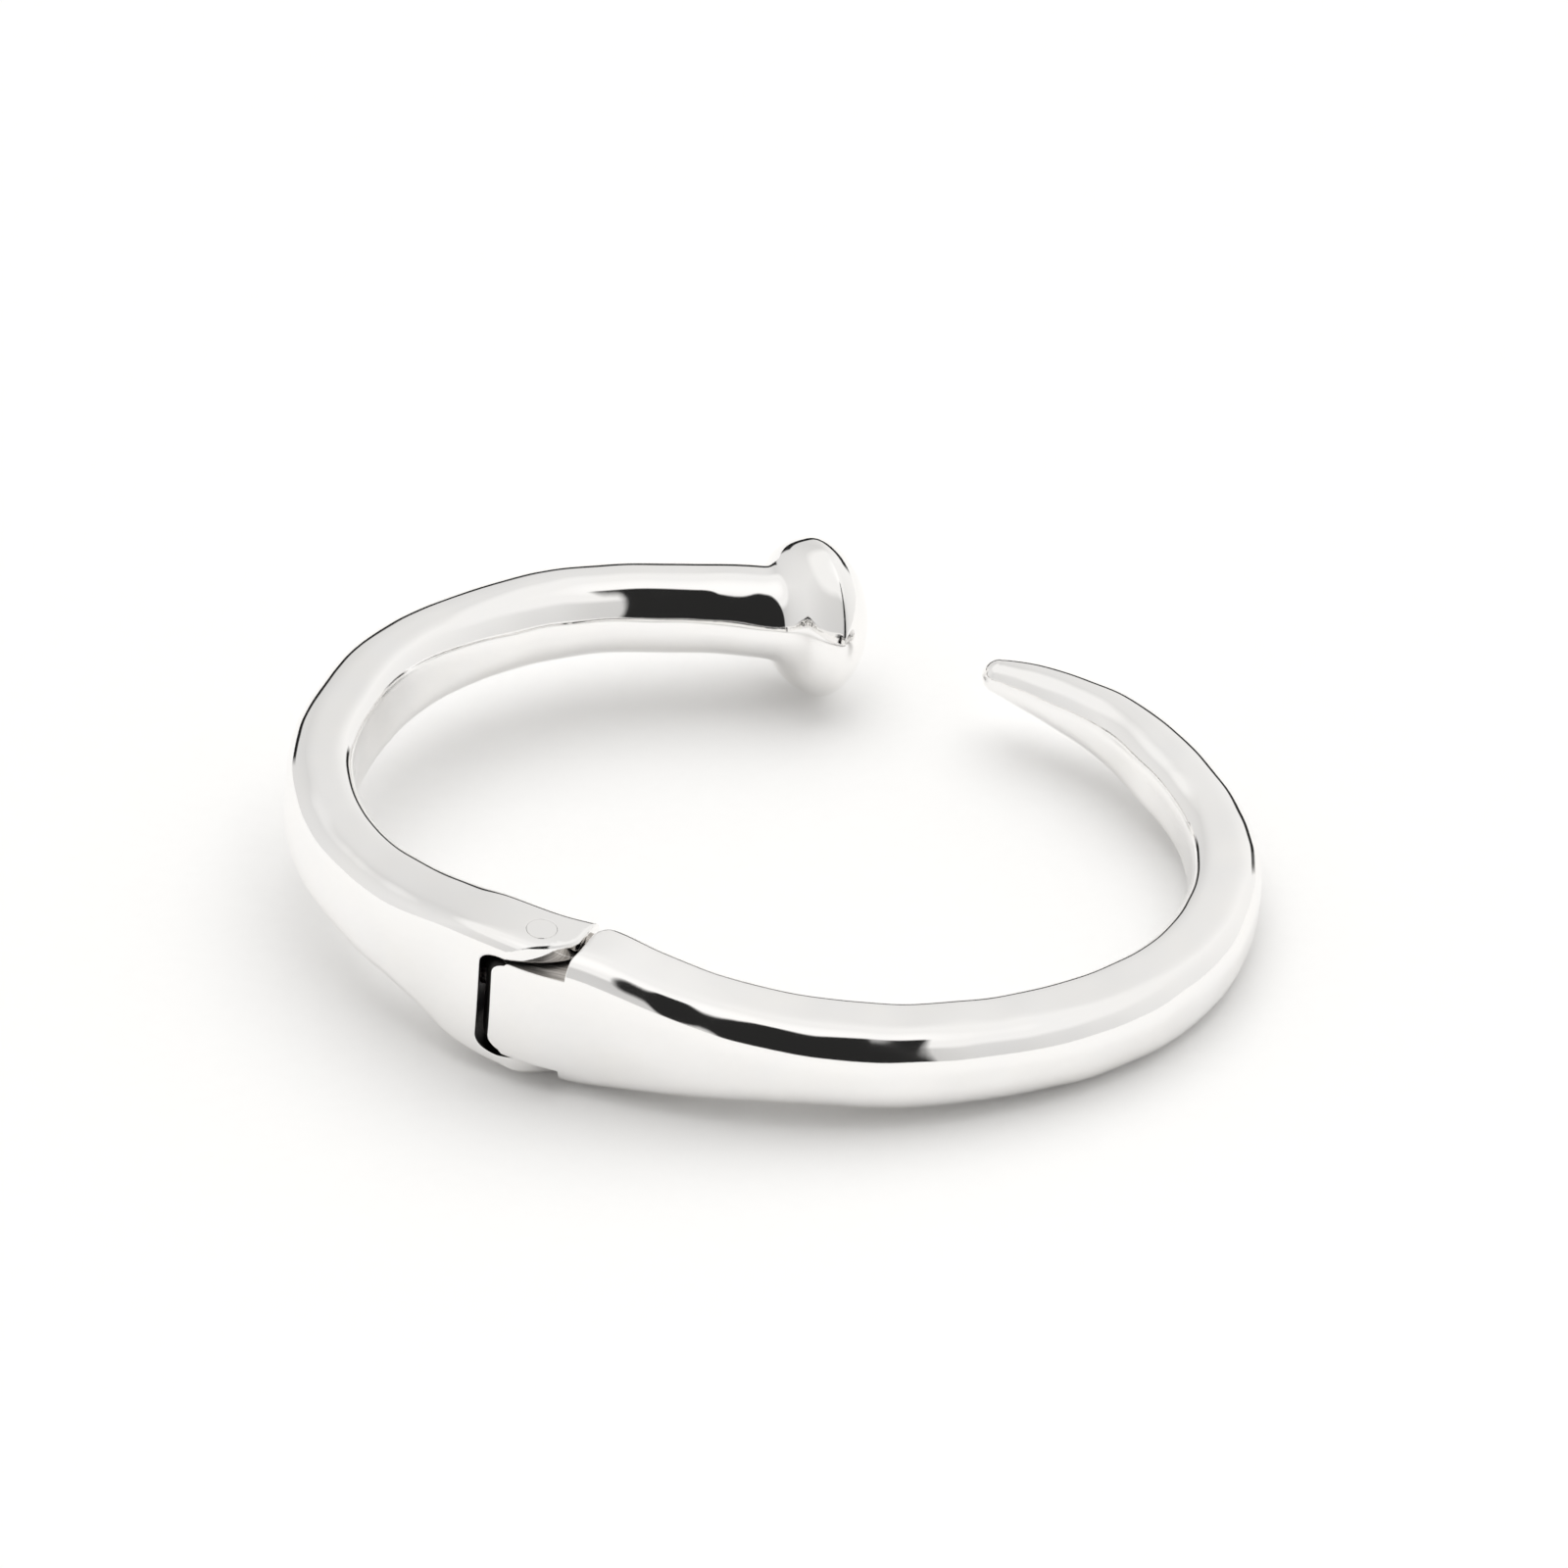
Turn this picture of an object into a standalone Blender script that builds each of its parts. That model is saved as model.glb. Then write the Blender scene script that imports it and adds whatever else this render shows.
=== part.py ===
"""Hinged bangle shaped like a bent nail, modelled at its real size in metres.

Two forged arms follow one oval midline and meet at a knuckle hinge near the front. The head arm
carries the two ears and ends in the nail's domed head; the point arm carries the knuckle and ends
in the nail's point. A plunger in the head arm presses on a rising ramp around the knuckle's end,
so its spring always closes the bangle.

+Z is up and +X runs along the oval. The origin lies under the middle of the closed bangle.
"""
import math

import bmesh
import bpy
from mathutils import Matrix, Vector

MM = 0.001

# --- driving dimensions ------------------------------------------------------------------------
# The oval that both arms follow, along the middle of the metal.
OVAL_LENGTH = 65.6 * MM
OVAL_WIDTH = 50.6 * MM

# Hinge: where it sits on the oval, and the metal around it.
HINGE_AT = -114.0
HINGE_WIDTH = 5.9 * MM
HINGE_HEIGHT = 11.3 * MM
HINGE_INNER_CORNER = 0.6 * MM
HINGE_OUTER_CORNER = 0.9 * MM
EAR_THICKNESS = 1.55 * MM
EAR_REACH = 2.85 * MM
MEETING_GAP = 0.3 * MM
KNUCKLE_INNER_RADIUS = 2.9 * MM
KNUCKLE_ROUNDING = 1.2 * MM
RAMP_RISE = 0.7 * MM
OPENING = 40.0
SLOT_FLOOR_GAP = 0.65 * MM
SLOT_ROUNDING = 0.9 * MM

PIN_DIAMETER = 2.1 * MM
PIN_FIT = 0.02 * MM
PIN_RUNNING_FIT = 0.05 * MM

# Plunger and return spring, in a bore that runs from the slot's floor into the head arm.
PLUNGER_DIAMETER = 2.4 * MM
PLUNGER_LENGTH = 3.0 * MM
PLUNGER_DOME = 0.6 * MM
PLUNGER_CHAMFER = 0.25 * MM
PLUNGER_RUNNING_FIT = 0.05 * MM
SPRING_SIDE_ROOM = 0.2 * MM
SPRING_WIRE = 0.4 * MM
SPRING_LENGTH = 4.3 * MM
SPRING_TURNS = 5

# Nail head: where the shank's straight end starts, how far from there its rim stands, how far the
# neck flares out behind the rim and how far the crown domes out in front of it. The head sits
# askew on the shank, its face turned outwards and a little down by some degrees.
SHANK_END = -254.0
SHANK_OUTSET = 0.2 * MM
SHANK_DIAMETER = 7.0 * MM
HEAD_DISTANCE = 3.9 * MM
HEAD_DIAMETER = 11.9 * MM
HEAD_NECK = 3.0 * MM
HEAD_CROWN = 3.7 * MM
HEAD_TURNED_DOWN = 6.0
HEAD_TURNED_OUT = 25.0
# The head's outline: share of the neck or the crown, and share of the flare or of the radius.
NECK_OUTLINE = ((1.0, 0.0), (0.86, 0.06), (0.73, 0.29), (0.6, 0.51), (0.43, 0.71), (0.26, 0.85), (0.0, 1.0))
CROWN_OUTLINE = ((0.07, 1.0), (0.19, 0.98), (0.33, 0.935), (0.47, 0.87), (0.61, 0.78), (0.75, 0.65),
                 (0.86, 0.51), (0.94, 0.35), (0.985, 0.18))

# Around the hinge the metal keeps one cross-section: degrees round the oval, and how far in mm
# the metal stands outside the oval there.
HINGE_PLACES = ((-123.0, 0.4), (HINGE_AT, 0.35), (-105.0, -0.2))
# Cross-sections that the hammer left: degrees round the oval, how far the metal stands outside
# the oval, its width, its height and the radii of its inner and outer corners, in mm.
HEAD_ARM_SECTIONS = (
    (-131.0, 0.2, 5.6, 9.2, 0.7, 1.1),
    (-141.0, 0.3, 5.4, 7.6, 0.8, 1.3),
    (-153.0, 0.5, 5.1, 6.9, 0.9, 1.4),
    (-167.0, 0.2, 4.9, 6.9, 1.0, 1.5),
    (-182.0, -0.6, 5.2, 6.9, 1.3, 1.8),
    (-197.0, -0.3, 5.6, 6.6, 1.8, 2.2),
    (-212.0, 0.0, 6.0, 6.3, 2.4, 2.6),
    (-226.0, 0.4, 6.4, 6.7, 2.9, 3.0),
    (-241.0, 0.1, 6.7, 6.7, 3.1, 3.1),
)
POINT_ARM_SECTIONS = (
    (-96.0, -0.2, 5.7, 9.6, 0.8, 1.3),
    (-82.0, 0.0, 5.7, 7.7, 0.9, 1.8),
    (-68.0, 0.2, 5.8, 6.7, 1.0, 2.1),
    (-52.0, 0.3, 5.8, 6.3, 1.1, 2.1),
    (-35.0, 0.2, 5.8, 6.1, 1.1, 2.0),
    (-17.0, 0.3, 5.5, 6.0, 1.1, 1.8),
    (1.0, 0.0, 5.2, 5.4, 1.1, 1.7),
    (18.0, 0.0, 5.1, 5.0, 1.2, 1.7),
    (31.0, -0.1, 5.0, 5.1, 1.4, 1.8),
    (42.0, 0.2, 4.7, 4.9, 1.7, 1.9),
    (52.0, 0.0, 4.2, 4.1, 1.8, 1.8),
    (60.0, -0.3, 3.4, 3.3, 1.5, 1.5),
    (63.5, -0.6, 2.6, 2.5, 1.2, 1.2),
)

# --- how finely the surfaces are divided ---------------------------------------------------------
RING_STEP = 3.0
ROUNDEST = 0.48
CORNER_STEPS = 6
NOSE_STEPS = 5
ROUNDING_STEPS = 4
RAMP_STEPS = 16
ROUND_SIDES = 48
BORE_SIDES = 32
CUTTER_REACH = 14.0 * MM

parts = None
cutters = None


# --- scene helpers -------------------------------------------------------------------------------
def clear_scene():
    """Remove whatever objects the file holds."""
    for item in list(bpy.data.objects):
        bpy.data.objects.remove(item, do_unlink=True)


def new_collection(name):
    """Make a collection in the scene."""
    collection = bpy.data.collections.new(name)
    bpy.context.scene.collection.children.link(collection)
    return collection


def new_material(name, colour, roughness, metallic):
    """Make a Principled material."""
    material = bpy.data.materials.new(name)
    material.use_nodes = True
    shader = material.node_tree.nodes["Principled BSDF"]
    shader.inputs["Base Color"].default_value = (*colour, 1.0)
    shader.inputs["Roughness"].default_value = roughness
    shader.inputs["Metallic"].default_value = metallic
    return material


def add_mesh(name, bm, collection):
    """Turn a bmesh into an object with its faces pointing out."""
    bmesh.ops.recalc_face_normals(bm, faces=bm.faces)
    mesh = bpy.data.meshes.new(name)
    bm.to_mesh(mesh)
    bm.free()
    item = bpy.data.objects.new(name, mesh)
    collection.objects.link(item)
    return item


def place(item, matrix, parent):
    """Stand an object in a frame of the bangle and hang it on its parent."""
    item.matrix_world = matrix
    item.parent = parent
    item.matrix_parent_inverse = parent.matrix_world.inverted()


def smooth(item):
    """Shade an object smooth but for its sharp edges."""
    item.data.shade_smooth()
    item.data.set_sharp_from_angle(angle=math.radians(35.0))


def combine(item, tool, operation):
    """Cut or join one object with another that is only a tool."""
    modifier = item.modifiers.new(tool.name, "BOOLEAN")
    modifier.operation = operation
    modifier.solver = "EXACT"
    modifier.object = tool
    tool.hide_render = True
    tool.display_type = "WIRE"


# --- the oval ------------------------------------------------------------------------------------
def midline(degrees, outset):
    """A point of the arms' midline, some way outside the oval."""
    angle = math.radians(degrees)
    across = math.cos(angle) / (OVAL_LENGTH / 2)
    along = math.sin(angle) / (OVAL_WIDTH / 2)
    radius = 1.0 / math.hypot(across, along) + outset
    return Vector((radius * math.cos(angle), radius * math.sin(angle), 0.0))


def frame_at(origin, forward):
    """A frame with X along the metal, Z up, and Y completing it."""
    forward = forward.normalized()
    across = Vector((-forward.y, forward.x, 0.0))
    return Matrix((
        (forward.x, across.x, 0.0, origin.x),
        (forward.y, across.y, 0.0, origin.y),
        (0.0, 0.0, 1.0, origin.z),
        (0.0, 0.0, 0.0, 1.0),
    ))


def in_metres(sections):
    """Cross-sections with their sizes in metres."""
    return [(row[0], *(size * MM for size in row[1:])) for row in sections]


def hinge_rows():
    """The cross-sections that both arms share around the hinge, from the head arm to the point."""
    return [(degrees, outset * MM, HINGE_WIDTH, HINGE_HEIGHT, HINGE_INNER_CORNER, HINGE_OUTER_CORNER)
            for degrees, outset in HINGE_PLACES]


def slopes_at(rows, index):
    """How fast each value of a row changes with the angle, without overshooting a level stretch."""
    if index in (0, len(rows) - 1):
        return [0.0] * (len(rows[0]) - 1)
    before, here, after = rows[index - 1:index + 2]
    slopes = []
    for first, value, last in zip(before[1:], here[1:], after[1:]):
        behind = (value - first) / (here[0] - before[0])
        ahead = (last - value) / (after[0] - here[0])
        slopes.append(2 * behind * ahead / (behind + ahead) if behind * ahead > 0 else 0.0)
    return slopes


def section_at(rows, degrees):
    """The cross-section at any angle, eased between the given ones."""
    index = 0
    while index < len(rows) - 2 and (degrees - rows[index + 1][0]) * (rows[1][0] - rows[0][0]) > 0:
        index += 1
    first, second = rows[index], rows[index + 1]
    turn = second[0] - first[0]
    share = (degrees - first[0]) / turn
    leave, arrive = slopes_at(rows, index), slopes_at(rows, index + 1)
    values = []
    for start, end, out, back in zip(first[1:], second[1:], leave, arrive):
        values.append(
            start * (1 - share) ** 2 * (1 + 2 * share) + end * share ** 2 * (3 - 2 * share)
            + turn * (out * share * (1 - share) ** 2 - back * share ** 2 * (1 - share)))
    return values


# --- lofted arms -----------------------------------------------------------------------------------
def rounded_rectangle(width, height, inner_corner, outer_corner):
    """Points around a cross-section: Y across the metal and Z up, with the oval's inside at +Y."""
    widest = ROUNDEST * min(width, height)
    points = []
    for quarter, (side, rise) in enumerate(((1, 1), (-1, 1), (-1, -1), (1, -1))):
        corner = min(inner_corner if side > 0 else outer_corner, widest)
        for step in range(CORNER_STEPS + 1):
            angle = math.radians(90.0 * (quarter + step / CORNER_STEPS))
            points.append(Vector((0.0, side * (width / 2 - corner) + corner * math.cos(angle),
                                  rise * (height / 2 - corner) + corner * math.sin(angle))))
    return points


def add_ring(bm, matrix, points):
    """Add a closed ring of vertices."""
    return [bm.verts.new(matrix @ point) for point in points]


def skin(bm, rings):
    """Join rings into a tube and close its ends."""
    for ring, following in zip(rings, rings[1:]):
        for index in range(len(ring)):
            after = (index + 1) % len(ring)
            bm.faces.new((ring[index], ring[after], following[after], following[index]))
    bm.faces.new(rings[0])
    bm.faces.new(rings[-1])


def ring_frame(rows, degrees):
    """The frame of the cross-section at an angle: X towards the point, Y inwards, Z up."""
    def place_at(angle):
        return midline(angle, section_at(rows, angle)[0])
    return frame_at(place_at(degrees), place_at(degrees + RING_STEP / 2) - place_at(degrees - RING_STEP / 2))


def nose_rings(width, height, inner_corner, outer_corner):
    """Cross-sections that round off the point, as (place past the last one, points)."""
    rings = []
    for step in range(1, NOSE_STEPS + 1):
        angle = math.radians(75.0 * step / NOSE_STEPS)
        shrink = math.cos(angle)
        points = rounded_rectangle(width * shrink, height * shrink, inner_corner, outer_corner)
        rings.append((Matrix.Translation((math.sin(angle) * width / 2, 0.0, 0.0)), points))
    return rings


def head_rings():
    """Cross-sections of the nail's head, as (place past the last one, points)."""
    shank, rim = SHANK_DIAMETER / 2, HEAD_DIAMETER / 2
    outline = [(HEAD_DISTANCE - share * HEAD_NECK, shank + flare * (rim - shank))
               for share, flare in NECK_OUTLINE]
    outline += [(HEAD_DISTANCE + share * HEAD_CROWN, size * rim) for share, size in CROWN_OUTLINE]
    rings = []
    for ahead, radius in outline:
        straight = min(ahead, HEAD_DISTANCE)
        share = straight / HEAD_DISTANCE
        askew = math.radians(share * share * (3 - 2 * share))
        turned = (Matrix.Rotation(-HEAD_TURNED_DOWN * askew, 4, "Y")
                  @ Matrix.Rotation(HEAD_TURNED_OUT * askew, 4, "Z"))
        place_in_shank = (Matrix.Translation((-straight, 0.0, 0.0)) @ turned
                          @ Matrix.Translation((straight - ahead, 0.0, 0.0)))
        rings.append((place_in_shank, rounded_rectangle(2 * radius, 2 * radius, radius, radius)))
    return rings


def arm_body(name, rows, end_rings, collection):
    """Loft an arm through its cross-sections and on through the rings of its far end."""
    bm = bmesh.new()
    span = rows[-1][0] - rows[0][0]
    count = round(abs(span) / RING_STEP)
    rings = []
    for step in range(count + 1):
        degrees = rows[0][0] + step * span / count
        matrix = ring_frame(rows, degrees)
        rings.append(add_ring(bm, matrix, rounded_rectangle(*section_at(rows, degrees)[1:])))
    for place_past, points in end_rings:
        rings.append(add_ring(bm, matrix @ place_past, points))
    skin(bm, rings)
    return add_mesh(name, bm, collection)


# --- turned and sawn shapes ------------------------------------------------------------------------
def rod(name, radius, length, sides, collection):
    """A cylinder along Z from its origin."""
    bm = bmesh.new()
    bmesh.ops.create_cone(bm, cap_ends=True, segments=sides, radius1=radius, radius2=radius,
                          depth=length, matrix=Matrix.Translation((0.0, 0.0, length / 2)))
    return add_mesh(name, bm, collection)


def turned(name, profile, sides, collection):
    """Turn a profile of (distance, radius) pairs around Z."""
    mesh = bpy.data.meshes.new(name)
    edges = [(index, index + 1) for index in range(len(profile) - 1)]
    mesh.from_pydata([(radius, 0.0, distance) for distance, radius in profile], edges, [])
    item = bpy.data.objects.new(name, mesh)
    collection.objects.link(item)
    screw = item.modifiers.new("turn", "SCREW")
    screw.steps = sides
    screw.render_steps = sides
    screw.use_merge_vertices = True
    screw.merge_threshold = 0.00001
    screw.use_smooth_shade = True
    return item


def slab(name, outline, bottom, top, collection, rounding=0.0, rim=0.0):
    """Raise a flat outline from one height to another and round its rims near the hinge's axis."""
    bm = bmesh.new()
    face = bm.faces.new([bm.verts.new((x, y, bottom)) for x, y in outline])
    raised = bmesh.ops.extrude_face_region(bm, geom=[face])["geom"]
    corners = [item for item in raised if isinstance(item, bmesh.types.BMVert)]
    bmesh.ops.translate(bm, verts=corners, vec=(0.0, 0.0, top - bottom))
    rims = [edge for edge in bm.edges if abs(edge.verts[0].co.z - edge.verts[1].co.z) < 0.1 * MM
            and all(corner.co.xy.length < rim + 0.01 * MM for corner in edge.verts)]
    if rims:
        bmesh.ops.bevel(bm, geom=rims, offset=rounding, offset_type="OFFSET", segments=ROUNDING_STEPS,
                        profile=0.5, affect="EDGES")
    return add_mesh(name, bm, collection)


def spoke(radius, degrees):
    """A point at some radius and angle about the hinge's axis."""
    angle = math.radians(degrees)
    return (radius * math.cos(angle), radius * math.sin(angle))


def arc(radius, start, end, steps):
    """Points along an arc about the hinge's axis."""
    return [spoke(radius, start + (end - start) * step / steps) for step in range(steps + 1)]


# --- hinge sizes that follow from the driving dimensions -------------------------------------------
KNUCKLE_OUTER_RADIUS = KNUCKLE_INNER_RADIUS + RAMP_RISE
SLOT_FLOOR = KNUCKLE_OUTER_RADIUS + SLOT_FLOOR_GAP
SLOT_HALF = HINGE_HEIGHT / 2 - EAR_THICKNESS
KNUCKLE_HALF = SLOT_HALF - MEETING_GAP
SHOULDER = EAR_REACH + MEETING_GAP
PLUNGER_TIP = KNUCKLE_INNER_RADIUS + MEETING_GAP
PLUNGER_TAIL = PLUNGER_TIP + PLUNGER_LENGTH
SPRING_START = PLUNGER_TAIL + MEETING_GAP
BORE_END = SPRING_START + SPRING_LENGTH + MEETING_GAP
BORE_RADIUS = PLUNGER_DIAMETER / 2 + PLUNGER_RUNNING_FIT

HINGE = ring_frame(hinge_rows(), HINGE_AT)


def head_arm_rows():
    """All cross-sections of the head arm, from past the ears to the end of the shank."""
    shank_end = (SHANK_END, SHANK_OUTSET, SHANK_DIAMETER, SHANK_DIAMETER, SHANK_DIAMETER / 2,
                 SHANK_DIAMETER / 2)
    return hinge_rows()[::-1] + in_metres(HEAD_ARM_SECTIONS) + [shank_end]


def bore_heading():
    """Degrees in the hinge's frame from its axis to the middle of the metal at the bore's end."""
    rows = head_arm_rows()
    axis = HINGE.translation
    degrees, target = HINGE_AT, axis
    while (target - axis).length < BORE_END:
        degrees -= 0.25
        target = midline(degrees, section_at(rows, degrees)[0])
    heading = HINGE.inverted() @ target
    return math.degrees(math.atan2(heading.y, heading.x))


BORE_HEADING = bore_heading()
BORE = HINGE @ Matrix.Rotation(math.radians(BORE_HEADING), 4, "Z") @ Matrix.Rotation(math.pi / 2, 4, "Y")


def ear_end_outline():
    """What is sawn off past the ears: square inside, rounded about the pin outside."""
    reach = CUTTER_REACH
    side = HINGE_WIDTH / 2 + PIN_RUNNING_FIT
    rounded = [(EAR_REACH * x, side * y) for x, y in arc(1.0, 0.0, -90.0, 16)]
    return [(reach, reach), (EAR_REACH, reach)] + rounded + [(0.0, -reach), (reach, -reach)]


def slot_outline():
    """The slot between the ears, with a floor hollowed about the pin."""
    floor = arc(SLOT_FLOOR, 120.0, 240.0, 24)
    return floor + [(CUTTER_REACH, floor[-1][1]), (CUTTER_REACH, floor[0][1])]


def knuckle_outline():
    """The knuckle from above: its end is round but for the ramp that lifts the plunger."""
    inner = arc(KNUCKLE_INNER_RADIUS, 95.0, BORE_HEADING, 12)[:-1]
    ramp = []
    for step in range(RAMP_STEPS + 1):
        share = step / RAMP_STEPS
        ramp.append(spoke(KNUCKLE_INNER_RADIUS + RAMP_RISE * share, BORE_HEADING + OPENING * share))
    outer = arc(KNUCKLE_OUTER_RADIUS, BORE_HEADING + OPENING, 245.0, 8)[1:]
    edge = inner + ramp + outer
    wide, reach = HINGE_WIDTH, CUTTER_REACH
    return edge + [(edge[-1][0], -wide), (reach, -wide), (reach, wide), (edge[0][0], wide)]


# --- pieces ----------------------------------------------------------------------------------------
def make_head_arm(root, metal):
    """Head arm: ears, slot, pin holes and bore at one end, the nail's head at the other."""
    arm = arm_body("head_arm", head_arm_rows(), head_rings(), parts)
    arm.data.materials.append(metal)
    ear_end = slab("ear_end_cutter", ear_end_outline(), -CUTTER_REACH, CUTTER_REACH, cutters)
    slot = slab("slot_cutter", slot_outline(), -SLOT_HALF, SLOT_HALF, cutters, SLOT_ROUNDING,
                SLOT_FLOOR)
    hole = rod("ear_hole_cutter", PIN_DIAMETER / 2 + PIN_FIT, 2 * CUTTER_REACH, ROUND_SIDES, cutters)
    bore = rod("bore_cutter", BORE_RADIUS, BORE_END - PLUNGER_TIP, BORE_SIDES, cutters)
    place(ear_end, HINGE, root)
    place(slot, HINGE, root)
    place(hole, HINGE @ Matrix.Translation((0.0, 0.0, -CUTTER_REACH)), root)
    place(bore, BORE @ Matrix.Translation((0.0, 0.0, PLUNGER_TIP)), root)
    for tool in (ear_end, slot, hole, bore):
        combine(arm, tool, "DIFFERENCE")
    smooth(arm)
    place(arm, Matrix.Identity(4), root)
    return arm


def make_point_arm(root, metal):
    """Point arm: the knuckle at one end and the nail's point at the other."""
    rows = hinge_rows() + in_metres(POINT_ARM_SECTIONS)
    arm = arm_body("point_arm", rows, nose_rings(*rows[-1][2:]), parts)
    arm.data.materials.append(metal)
    arm.data.transform(HINGE.inverted())

    reach, beyond = CUTTER_REACH, OVAL_LENGTH + OVAL_WIDTH
    ahead = [(SHOULDER, -reach), (beyond, -reach), (beyond, beyond), (SHOULDER, beyond)]
    knuckle = slab("knuckle_room", knuckle_outline(), -KNUCKLE_HALF, KNUCKLE_HALF, cutters,
                   KNUCKLE_ROUNDING, KNUCKLE_OUTER_RADIUS)
    room = slab("arm_room", ahead, -reach, reach, cutters)
    hole = rod("knuckle_hole_cutter", PIN_DIAMETER / 2 + PIN_RUNNING_FIT, 2 * reach, ROUND_SIDES,
               cutters)
    for tool in (knuckle, room):
        place(tool, HINGE, root)
    place(hole, HINGE @ Matrix.Translation((0.0, 0.0, -reach)), root)
    combine(room, knuckle, "UNION")
    combine(arm, room, "INTERSECT")
    combine(arm, hole, "DIFFERENCE")
    smooth(arm)
    place(arm, HINGE, root)
    return arm


def make_pin(root, metal):
    """Hinge pin, dressed flush with both ears."""
    pin = rod("hinge_pin", PIN_DIAMETER / 2, HINGE_HEIGHT, ROUND_SIDES, parts)
    pin.data.materials.append(metal)
    pin.data.transform(Matrix.Translation((0.0, 0.0, -HINGE_HEIGHT / 2)))
    smooth(pin)
    place(pin, HINGE, root)
    return pin


def make_plunger(root, metal):
    """Plunger with a domed nose on the knuckle's ramp; its origin is the nose."""
    radius = PLUNGER_DIAMETER / 2
    nose = [(PLUNGER_DOME * (1 - math.cos(math.radians(a))), radius * math.sin(math.radians(a)))
            for a in range(0, 91, 15)]
    profile = nose + [(PLUNGER_LENGTH - PLUNGER_CHAMFER, radius),
                      (PLUNGER_LENGTH, radius - PLUNGER_CHAMFER), (PLUNGER_LENGTH, 0.0)]
    plunger = turned("plunger", profile[::-1], BORE_SIDES, parts)
    plunger.data.materials.append(metal)
    place(plunger, BORE @ Matrix.Translation((0.0, 0.0, PLUNGER_TIP)), root)
    return plunger


def make_spring(root, metal):
    """Return spring: a coil with its end turns closed up."""
    lane = BORE_RADIUS - SPRING_SIDE_ROOM - SPRING_WIRE / 2
    per_turn = 12
    closed = 1.2 * SPRING_WIRE
    rise = SPRING_LENGTH - SPRING_WIRE
    open_pitch = (rise - 2 * closed) / (SPRING_TURNS - 2)
    curve = bpy.data.curves.new("return_spring", "CURVE")
    curve.dimensions = "3D"
    curve.bevel_depth = SPRING_WIRE / 2
    curve.bevel_resolution = 2
    curve.use_fill_caps = True
    line = curve.splines.new("POLY")
    count = SPRING_TURNS * per_turn
    line.points.add(count)
    height = SPRING_WIRE / 2
    for step in range(count + 1):
        angle = math.tau * step / per_turn
        line.points[step].co = (lane * math.cos(angle), lane * math.sin(angle), height, 1.0)
        in_end_turn = step < per_turn or step >= count - per_turn
        height += (closed if in_end_turn else open_pitch) / per_turn
    spring = bpy.data.objects.new("return_spring", curve)
    parts.objects.link(spring)
    curve.materials.append(metal)
    place(spring, BORE @ Matrix.Translation((0.0, 0.0, SPRING_START)), root)
    return spring


def stand_on_origin(root, pieces):
    """Move the whole bangle so that the origin lies under its middle."""
    bpy.context.view_layer.update()
    graph = bpy.context.evaluated_depsgraph_get()
    corners = []
    for piece in pieces:
        shown = piece.evaluated_get(graph)
        mesh = shown.to_mesh()
        corners += [piece.matrix_world @ vertex.co for vertex in mesh.vertices]
        shown.to_mesh_clear()
    low = [min(corner[axis] for corner in corners) for axis in range(3)]
    high = [max(corner[axis] for corner in corners) for axis in range(3)]
    root.location = (-(low[0] + high[0]) / 2, -(low[1] + high[1]) / 2, -low[2])


clear_scene()
parts = new_collection("nail_bangle")
cutters = new_collection("cutters")
bangle = bpy.data.objects.new("bangle", None)
parts.objects.link(bangle)

head_silver = new_material("head_arm_silver", (0.86, 0.85, 0.83), 0.06, 1.0)
point_silver = new_material("point_arm_silver", (0.86, 0.85, 0.83), 0.07, 1.0)
pin_steel = new_material("pin_steel", (0.78, 0.78, 0.77), 0.12, 1.0)
plunger_steel = new_material("plunger_steel", (0.60, 0.60, 0.60), 0.25, 1.0)
spring_steel = new_material("spring_steel", (0.52, 0.52, 0.53), 0.30, 1.0)

pieces = [
    make_head_arm(bangle, head_silver),
    make_point_arm(bangle, point_silver),
    make_pin(bangle, pin_steel),
    make_plunger(bangle, plunger_steel),
    make_spring(bangle, spring_steel),
]
stand_on_origin(bangle, pieces)
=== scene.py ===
import math

import bpy
import numpy as np
from mathutils import Matrix, Vector, noise


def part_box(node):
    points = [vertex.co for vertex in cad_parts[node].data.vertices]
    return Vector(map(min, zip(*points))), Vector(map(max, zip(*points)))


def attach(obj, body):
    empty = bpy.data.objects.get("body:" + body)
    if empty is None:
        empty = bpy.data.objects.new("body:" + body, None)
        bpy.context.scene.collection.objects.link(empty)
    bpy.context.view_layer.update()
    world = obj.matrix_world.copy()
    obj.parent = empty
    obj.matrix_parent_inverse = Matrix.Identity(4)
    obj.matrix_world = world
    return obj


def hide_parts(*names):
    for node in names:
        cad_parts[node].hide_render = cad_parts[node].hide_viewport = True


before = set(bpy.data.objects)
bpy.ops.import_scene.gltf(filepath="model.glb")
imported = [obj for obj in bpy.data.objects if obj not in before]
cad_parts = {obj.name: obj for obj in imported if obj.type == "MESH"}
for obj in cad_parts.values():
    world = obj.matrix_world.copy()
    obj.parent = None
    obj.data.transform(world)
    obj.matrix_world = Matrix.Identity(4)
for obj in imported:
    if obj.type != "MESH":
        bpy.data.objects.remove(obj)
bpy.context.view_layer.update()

bpy.ops.object.select_all(action="DESELECT")
MM = 0.001

# --- Head arm --------------------------------------------------------------------------------------
# The longer forged arm: a square silver bar hammered thinner and rounder towards its end, bent round
# the wrist and upset into the broad head of a nail. Its thick end is slotted into two hinge ears.
OVAL_HALF = (32.8 * MM, 25.3 * MM)
HINGE_AT = -114.0
HINGE_OUTSET = 0.35 * MM
RING_STEP = 0.6
CORNER_CUTS = 14
SIDE_CUTS = 10
AROUND = 4 * (CORNER_CUTS + SIDE_CUTS)
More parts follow.
